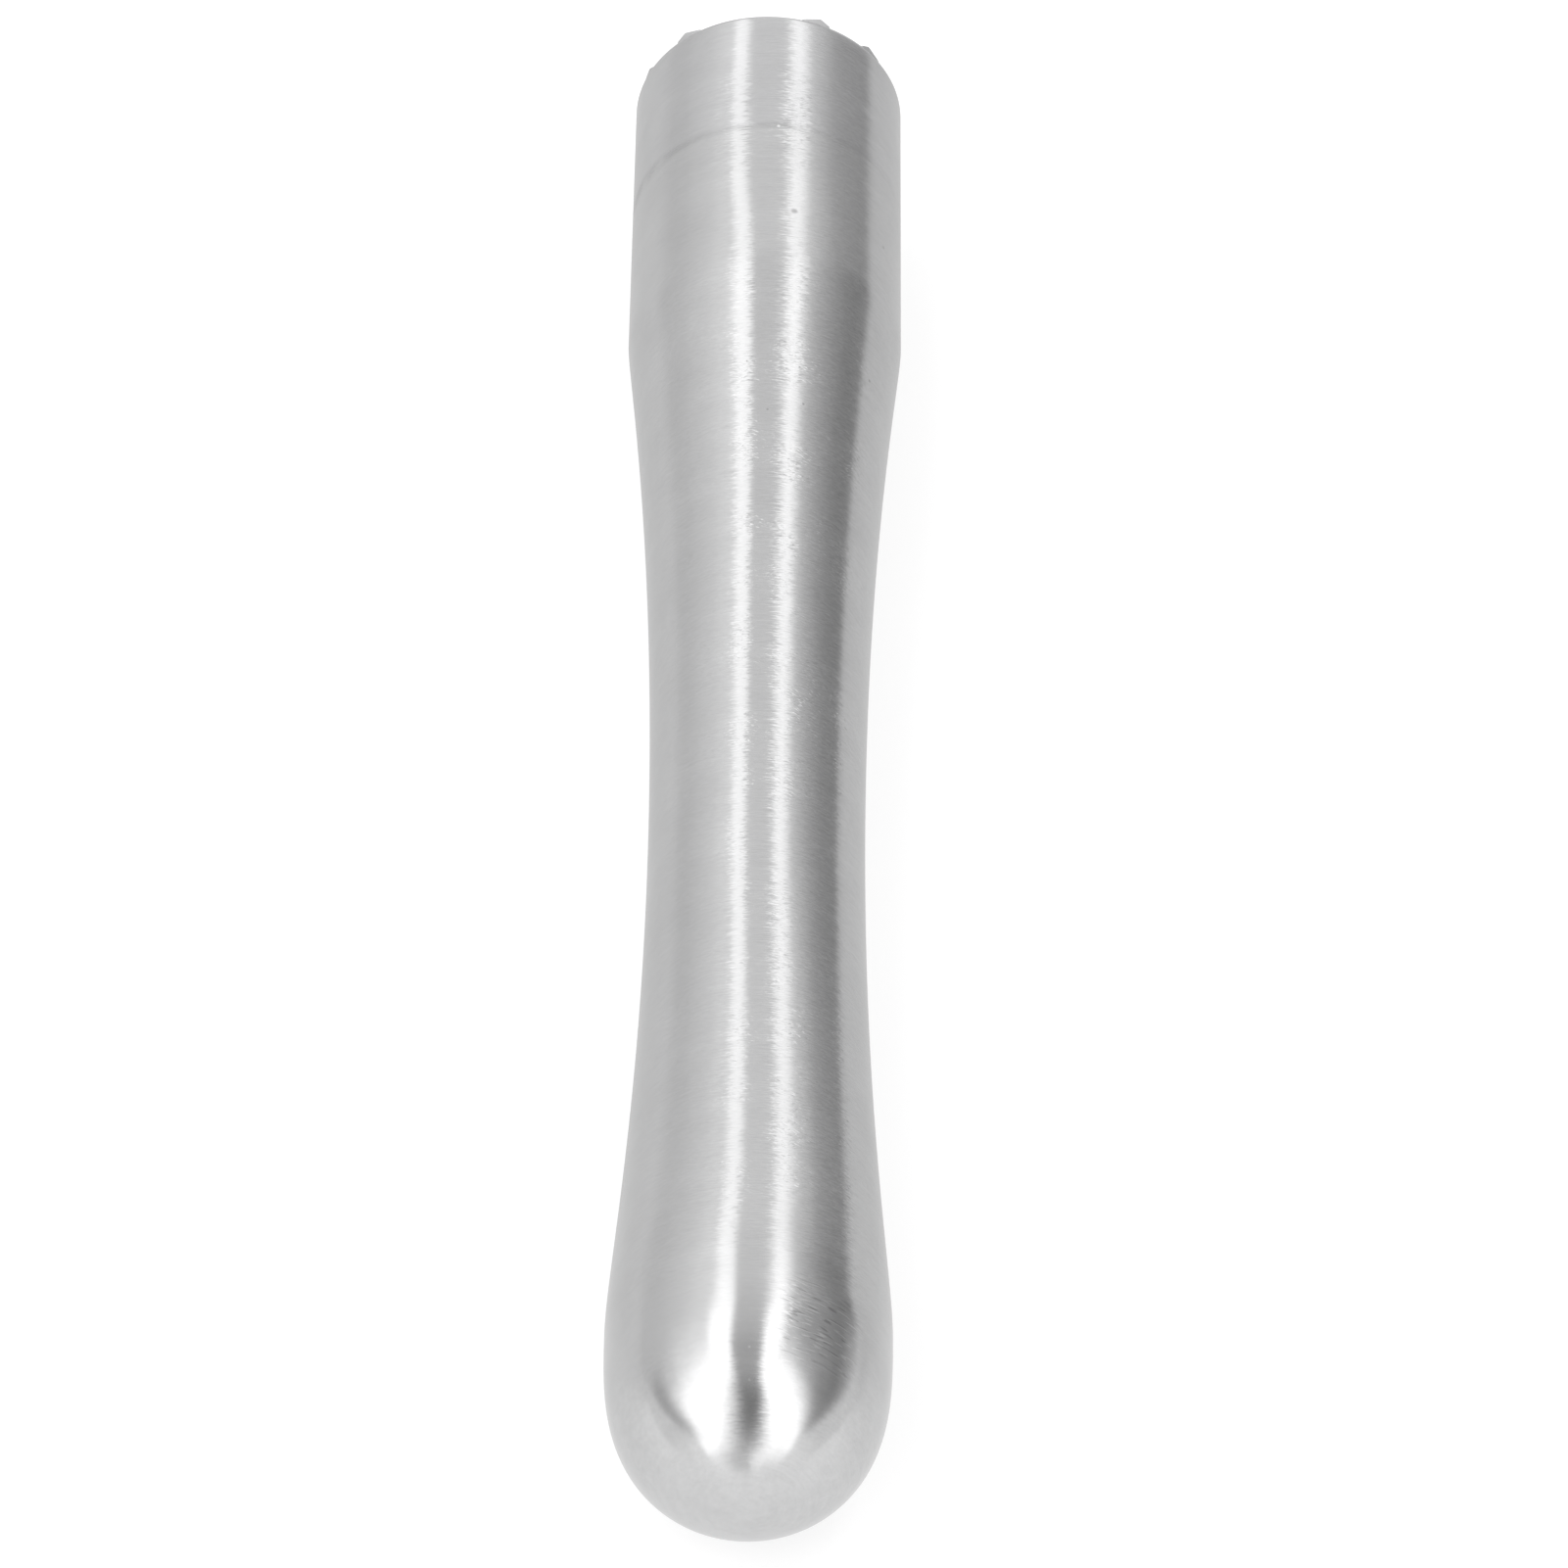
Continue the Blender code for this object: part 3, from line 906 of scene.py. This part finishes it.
def scratches_group():
    """Short straight scratches at a slant to the brush lines, as a mask."""
    nodes, given, result = new_tree(
        "Slanted scratches", "ShaderNodeTree",
        {"Height": ("Float", None), "Angle": ("Float", None), "Slant": ("Float", 0.4),
         "Width": ("Float", 0.2), "Length": ("Float", 3.0), "Offset": ("Float", 0.0),
         "Rarity": ("Float", 0.62)},
        {"Scratch": ("Float", None)},
    )
    arc = nodes.times(nodes.math("RADIANS", given["Angle"]), WAIST_RADIUS / MM)
    cosine = nodes.math("COSINE", given["Slant"])
    sine = nodes.math("SINE", given["Slant"])
    along = nodes.total(nodes.times(arc, cosine), nodes.times(given["Height"], sine))
    across = nodes.math(
        "SUBTRACT", nodes.times(given["Height"], cosine), nodes.times(arc, sine),
    )
    noise = nodes.noise(nodes.joined(
        nodes.math("DIVIDE", along, given["Length"]),
        nodes.math("DIVIDE", across, given["Width"]),
        given["Offset"],
    ))
    top = nodes.math("ADD", given["Rarity"], SCRATCH_EDGE)
    nodes.link(nodes.ranged(noise, given["Rarity"], top), result["Scratch"])
    return nodes.tree


def spot_group():
    """One small round mark at a place on the tool, as a mask."""
    nodes, given, result = new_tree(
        "Spot", "ShaderNodeTree",
        {"Height": ("Float", None), "Angle": ("Float", None), "Spot height": ("Float", 0.0),
         "Spot angle": ("Float", 0.0), "Spot radius": ("Float", 0.3)},
        {"Spot": ("Float", None)},
    )
    turn = nodes.math("RADIANS", nodes.math("SUBTRACT", given["Angle"], given["Spot angle"]))
    across = nodes.times(turn, HEAD_RADIUS / MM)
    along = nodes.math("SUBTRACT", given["Height"], given["Spot height"])
    distance = nodes.length(nodes.joined(across, along, 0.0))
    share = nodes.math("DIVIDE", distance, given["Spot radius"])
    nodes.link(nodes.ranged(share, 1.0, SPOT_CORE), result["Spot"])
    return nodes.tree


def steel_group():
    """Brushed steel: its colour, roughness and normal at a point, from the marks of its making,
    with painted glints in its colour.
    """
    nodes, given, result = new_tree(
        "Brushed steel", "ShaderNodeTree",
        {"Position": ("Vector", None), "Normal": ("Vector", None), "Steel": ("Color", None),
         "Base roughness": ("Float", 0.2), "Brush": ("Float", 1.0)},
        {"Colour": ("Color", None), "Roughness": ("Float", None), "Normal": ("Vector", None)},
    )
    spot = nodes.grouped(AXIS, {"Position": given["Position"]})
    place, height, angle = spot["Place"], spot["Height"], spot["Angle"]
    times, total, ranged, through = nodes.times, nodes.total, nodes.ranged, nodes.through

    def lines(width, length, offset, detail, roughness):
        values = {"Place": place, "Width": width, "Length": length, "Offset": offset,
                  "Detail": detail, "Roughness": roughness}
        return nodes.grouped(LINES, values)["Lines"]

    def scratches(slant, width, length, offset, rarity):
        values = {"Height": height, "Angle": angle, "Slant": math.radians(slant), "Width": width,
                  "Length": length, "Offset": offset, "Rarity": rarity}
        return nodes.grouped(SCRATCHES, values)["Scratch"]

    def distance_from(middle):
        return nodes.math("ABSOLUTE", nodes.math("SUBTRACT", height, middle))

    # Marks, and how strong each is here
    comb = lines(*COMB)
    hair = lines(*HAIR)
    band = lines(*BAND)
    # Grain: real grain in the tilt; in the colour it is painted glints, strongest on the dim band
    # right of the top
    grain = times(
        lines(*GRAIN), ranged(height, *GRAIN_BEFORE_DOME), ranged(height, *GRAIN_AFTER_COLLAR),
        through(angle, GRAIN_AND_GLINTS_BY_ANGLE),
    )
    pits = times(
        total(lines(*SHORT_PITS), times(lines(*LONG_PITS), LONG_PIT_SHARE)),
        ranged(height, *PITS_ON_DOME),
    )
    patch = nodes.noise(place, PATCH_SCALE, PATCH_DETAIL)
    patch_shade = nodes.math("SUBTRACT", patch, 0.5)
    at_head_weld = ranged(distance_from(HEAD_SEAM / MM), SEAM_ZONE, SEAM_ZONE / 2)
    at_dome_weld = times(
        ranged(distance_from(GRINDING_HEIGHT), *GRINDING_REACH),
        ranged(angle, *GRINDING_FROM_LEFT), ranged(angle, *GRINDING_FROM_RIGHT),
    )
    grinding = times(scratches(*GRINDING), at_dome_weld)
    # Painted glints: lighter strokes along the grinding scratches
    grinding_glint = times(scratches(*GRINDING_GLINT), at_dome_weld)
    dark_grinding = times(scratches(*DARK_GRINDING), at_dome_weld)
    tick_share = times(ranged(patch, *TICKS_BY_PATCH), through(height, TICKS_BY_HEIGHT))
    brush = times(
        given["Brush"], through(height, BRUSH_BY_HEIGHT), ranged(patch, *BRUSH_BY_PATCH),
    )
    left_limit = total(angle, times(at_head_weld, SEAM_BRUSH_SHIFT))
    turned_brush = times(
        brush, ranged(left_limit, *BRUSH_FROM_LEFT), ranged(angle, *BRUSH_TO_RIGHT),
        ranged(angle, *BRUSH_PAST_TOP),
    )

    # Tilts of the surface
    slow = total(
        through(height, GRIP_WAVE),
        times(through(angle, HEAD_WAVE), through(height, HEAD_WAVE_SHARE)),
        times(through(angle, SIDE_WAVE), through(height, SIDE_WAVE_SHARE)),
    )
    comb_teeth = total(
        times(nodes.math("MAXIMUM", comb, 0.0), COMB_TILT),
        times(nodes.math("MINIMUM", comb, 0.0), COMB_BACK_TILT),
    )
    round_tilt = total(
        slow,
        times(comb_teeth, turned_brush),
        times(hair, turned_brush, HAIR_TILT),
        times(band, brush, BAND_TILT),
        times(scratches(*TICKS), tick_share, TICK_TILT),
        times(scratches(*CROSS_TICKS), tick_share, CROSS_TICK_TILT),
        times(grinding, GRINDING_TILT),
        times(grain, GRAIN_TILT),
    )
    along_tilt = total(
        times(hair, turned_brush, HAIR_ALONG_TILT), times(grinding, GRINDING_ALONG_TILT),
    )
    tipped = nodes.vector("ADD", given["Normal"], nodes.scaled(spot["Round"], round_tilt))
    tipped = nodes.vector("ADD", tipped, nodes.scaled(spot["Along"], along_tilt))
    nodes.link(nodes.vector("NORMALIZE", tipped), result["Normal"])

    # Shades: the steel's own tone, with painted glints in the grain, along the grinding strokes and
    # on a pit in the head's seam
    off_seam = times(
        nodes.math("ABSOLUTE", total(height, times(patch_shade, SEAM_WOBBLE), -HEAD_SEAM / MM)),
        ranged(angle, *SEAM_SPREAD_LEFT), ranged(angle, *SEAM_SPREAD_RIGHT),
    )
    seam = times(
        ranged(off_seam, SEAM_SHADE_WIDTH, 0.0), through(angle, SEAM_BY_ANGLE),
        ranged(lines(*SEAM_BREAKS), *SEAM_BY_BREAKS),
    )
    marks = times(seam, SEAM_SHADE)
    # The first bright spot is a painted glint on a pit in the head's seam
    for spot_height, spot_angle, radius, strength in DARK_SPOTS + BRIGHT_SPOTS:
        values = {"Height": height, "Angle": angle, "Spot height": spot_height,
                  "Spot angle": spot_angle, "Spot radius": radius}
        marks = total(marks, times(nodes.grouped(SPOT, values)["Spot"], strength))
    fine_lines = times(
        total(times(hair, HAIR_SHADE), times(comb, COMB_SHADE), times(band, BAND_SHADE)),
        through(angle, FINE_LINES_BY_ANGLE), ranged(height, *LINES_BEFORE_DOME),
    )
    shade = total(
        1.0, fine_lines, grain, times(patch_shade, PATCH_SHADE), times(pits, PIT_SHADE),
        times(dark_grinding, DARK_GRINDING_SHADE), times(grinding_glint, GRINDING_GLINT_SHADE),
        times(marks, -1.0),
    )
    nodes.link(nodes.scaled(given["Steel"], shade), result["Colour"])
    rough = total(
        given["Base roughness"], times(band, BAND_ROUGHNESS),
        times(at_head_weld, SEAM_ZONE_ROUGHNESS), times(seam, SEAM_ROUGHNESS),
    )
    nodes.link(rough, result["Roughness"])
    return nodes.tree


def brushed_steel(name, colour, roughness, brush):
    """A brushed steel finish. Its brush lines run round the tool."""
    material, nodes = new_material(name)
    steel = nodes.grouped(STEEL, {
        "Position": nodes.add("ShaderNodeTexCoord").outputs["Object"],
        "Normal": nodes.add("ShaderNodeNewGeometry").outputs["Normal"],
        "Steel": colour + (1.0,), "Base roughness": roughness, "Brush": brush,
    })
    tangent = nodes.output("ShaderNodeTangent", direction_type="UV_MAP", uv_map="UVMap")
    shader = nodes.output("ShaderNodeBsdfPrincipled", {
        "Base Color": steel["Colour"], "Metallic": 1.0, "Roughness": steel["Roughness"],
        "Anisotropic": ANISOTROPY, "Anisotropic Rotation": ANISOTROPY_TURN,
        "Specular Tint": BRUSHED_EDGE_TINT, "Normal": steel["Normal"], "Tangent": tangent,
    })
    nodes.add("ShaderNodeOutputMaterial", {"Surface": shader})
    return material


def milled_steel(name, colour):
    """The satin finish of the cut face and its teeth."""
    material, nodes = new_material(name)
    position = nodes.add("ShaderNodeTexCoord").outputs["Object"]
    place = nodes.grouped(AXIS, {"Position": position})["Place"]
    grain = nodes.noise(place, MILLED_GRAIN_SCALE, MILLED_GRAIN_DETAIL)
    shader = nodes.output("ShaderNodeBsdfPrincipled", {
        "Base Color": nodes.scaled(colour, nodes.ranged(grain, *MILLED_SHADE)), "Metallic": 1.0,
        "Roughness": nodes.ranged(grain, *MILLED_ROUGHNESS), "Specular Tint": MILLED_EDGE_TINT,
        "Normal": nodes.output("ShaderNodeBump", {
            "Strength": MILLED_BUMP, "Distance": MILLED_BUMP_HEIGHT, "Height": grain,
        }),
    })
    nodes.add("ShaderNodeOutputMaterial", {"Surface": shader})
    return material


# Table, light and camera


def white_table():
    """The pale table. Its right edge and its front edge are close to the tool."""
    mesh = bpy.data.meshes.new("white_table")
    corners = (
        (TABLE_LEFT, TABLE_FRONT, 0.0), (TABLE_RIGHT, TABLE_FRONT, 0.0),
        (TABLE_RIGHT, TABLE_BACK, 0.0), (TABLE_LEFT, TABLE_BACK, 0.0),
    )
    mesh.from_pydata(corners, [], [(0, 1, 2, 3)])
    table = new_object("white_table", mesh)
    material, nodes = new_material("white_table")
    path = nodes.add("ShaderNodeLightPath").outputs
    x, y, _ = nodes.parts(nodes.add("ShaderNodeTexCoord").outputs["Object"])

    # Seen by the camera, it is white and keeps the tool's shadow
    paint = nodes.output("ShaderNodeBsdfDiffuse", {"Color": TABLE_PAINT})
    white = nodes.output("ShaderNodeEmission", {"Color": WHITE, "Strength": TABLE_GLOW})
    seen = nodes.output("ShaderNodeMixShader", {0: TABLE_GLOW_SHARE, 1: paint, 2: white})

    # Mirrored in the steel, it glows with painted light at the levels of a lit cloth: darker
    # towards its right side and brighter at its front edge
    away = nodes.ranged(
        x, *MIRRORED_SIDES_MEET,
        nodes.through(y, MIRRORED_LEFT_AWAY), nodes.through(y, MIRRORED_RIGHT_AWAY),
    )
    level = nodes.times(nodes.ranged(x, *MIRRORED_ACROSS, smooth=False), away)
    level = nodes.ranged(y, *MIRRORED_NEAR_EDGE, MIRRORED_NEAR, level)
    mirrored = nodes.output("ShaderNodeEmission", {"Color": WHITE, "Strength": level})

    surface = nodes.output("ShaderNodeMixShader", {0: path["Is Camera Ray"], 1: paint, 2: seen})
    surface = nodes.output(
        "ShaderNodeMixShader", {0: path["Is Glossy Ray"], 1: surface, 2: mirrored},
    )
    nodes.add("ShaderNodeOutputMaterial", {"Surface": surface})
    mesh.materials.append(material)


def light_tent():
    """The room: a tent of white cloth with two bright flaps, a slit and a dim right side."""
    world = bpy.data.worlds.new("light_tent")
    bpy.context.scene.world = world
    world.use_nodes = True
    world.node_tree.nodes.clear()
    nodes = Nodes(world.node_tree)
    x, y, z = nodes.parts(nodes.add("ShaderNodeTexCoord").outputs["Generated"])
    forward = nodes.times(y, -1.0)
    azimuth = nodes.math("DEGREES", nodes.math("ARCTAN2", x, z))
    bearing = nodes.math("DEGREES", nodes.math("ARCTAN2", x, forward))
    ways = {"x": x, "y": y, "z": z, "forward": forward, "azimuth": azimuth}

    def patch(strength, fades):
        """A soft patch of the room: its strength inside it and 0 outside."""
        return nodes.times(
            strength, *(nodes.ranged(ways[way], start, full) for way, start, full in fades),
        )

    def past(value, edge, softness, way=forward):
        """0 before a soft edge and 1 past it. The edge's place changes along a way."""
        return nodes.step(value, nodes.through(way, edge), nodes.through(way, softness))

    # Walls: pale on the left, dim on the right, and paler there towards the front and the back
    level = nodes.through(azimuth, WALL_LEVEL)
    level = nodes.times(level, nodes.total(patch(*FAR_RIGHT), patch(*NEAR_RIGHT), 1.0))
    level = nodes.total(
        level, patch(*UPPER_LEFT), patch(*LOW_FAR_RIGHT), patch(*LOW_NEAR_RIGHT),
    )
    level = nodes.times(level, nodes.less(patch(*BESIDE_RIGHT)))

    # Flaps, which widen towards the front
    inside_left = past(azimuth, LEFT_FLAP_EDGE, LEFT_FLAP_SOFTNESS)
    inside_right = nodes.less(past(azimuth, RIGHT_FLAP_EDGE, RIGHT_FLAP_SOFTNESS))
    flaps = nodes.math("MINIMUM", inside_left, inside_right)
    level = nodes.mixed(flaps, level, nodes.ranged(y, *FLAP_LIGHT))

    # The slit between them, which bends to the left at its foot
    bent = nodes.total(x, nodes.times(nodes.ranged(z, *SLIT_BEND_Z), SLIT_BEND))
    slit = nodes.times(
        past(bent, SLIT_LEFT, SLIT_LEFT_SOFTNESS),
        nodes.less(past(bent, SLIT_RIGHT, SLIT_RIGHT_SOFTNESS)),
        nodes.ranged(z, *SLIT_FOOT_Z),
    )
    level = nodes.mixed(slit, level, nodes.through(forward, SLIT_LEVEL))

    # A dim strip low on the left
    strip = nodes.times(
        nodes.step(z, STRIP_BOTTOM, STRIP_SOFTNESS),
        nodes.less(nodes.step(z, STRIP_TOP, STRIP_SOFTNESS)),
        patch(*STRIP_ENDS),
    )
    level = nodes.mixed(strip, level, STRIP_LEVEL)

    # The cloth's white sweep, low down
    sweep = nodes.less(past(z, SWEEP_EDGE, SWEEP_SOFTNESS, bearing))
    sweep_level = nodes.total(nodes.ranged(y, *SWEEP_LIGHT), patch(*LIT_FRONT))
    level = nodes.mixed(sweep, level, sweep_level)

    path = nodes.add("ShaderNodeLightPath").outputs
    room = nodes.output("ShaderNodeBackground", {"Color": WHITE, "Strength": level})
    backdrop = nodes.output("ShaderNodeBackground", {"Color": WHITE, "Strength": 1.0})
    surface = nodes.output(
        "ShaderNodeMixShader", {0: path["Is Camera Ray"], 1: room, 2: backdrop},
    )
    nodes.add("ShaderNodeOutputWorld", {"Surface": surface})


def camera():
    """The camera at the photograph's viewing angle."""
    data = bpy.data.cameras.new("camera")
    data.lens = CAMERA_LENS
    obj = new_object("camera", data)
    obj.matrix_world = (
        Matrix.Translation(CAMERA_PLACE)
        @ Matrix.Rotation(CAMERA_TILT, 4, "X")
        @ Matrix.Rotation(CAMERA_ROLL, 4, "Z")
    )
    bpy.context.scene.camera = obj


AXIS = axis_group()
LINES = lines_group()
SCRATCHES = scratches_group()
SPOT = spot_group()
STEEL = steel_group()
LATHE = lathe_tree()

head_steel = brushed_steel("head_steel", (0.58, 0.58, 0.585), roughness=0.19, brush=1.0)
tube_steel = brushed_steel("tube_steel", (0.58, 0.58, 0.583), roughness=0.19, brush=1.0)
dome_steel = brushed_steel("dome_steel", (0.58, 0.58, 0.583), roughness=0.18, brush=0.35)
weld_steel = brushed_steel("weld_steel", (0.577, 0.577, 0.58), roughness=0.193, brush=1.0)
face_steel = milled_steel("toothed_face_steel", (0.62, 0.62, 0.625))

head_bead_outline = weld_outline(HEAD_SEAM, HEAD_RADIUS, GROOVE_DEPTH)
dome_bead_outline = weld_outline(BELLY, BELLY_RADIUS, 0.0)

head = toothed_head(head_steel, face_steel)
tube = turned_piece("muddler_tube", tube_outline(), tube_steel)
dome = turned_piece("muddler_dome", dome_outline(), dome_steel)
head_bead = turned_piece("muddler_head_weld", head_bead_outline, weld_steel)
dome_bead = turned_piece("muddler_dome_weld", dome_bead_outline, tube_steel)

for piece, node, slot in (
    (head, "toothed_head", "head_steel"),
    (head_bead, "head_weld", "weld_steel"),
    (tube, "handle_tube", "tube_steel"),
    (dome_bead, "dome_weld", "weld_steel"),
    (dome, "dome_cap", "dome_steel"),
):
    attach(piece, "root")
    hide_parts(node)

white_table()
light_tent()
camera()
bpy.context.scene.view_settings.view_transform = "Standard"
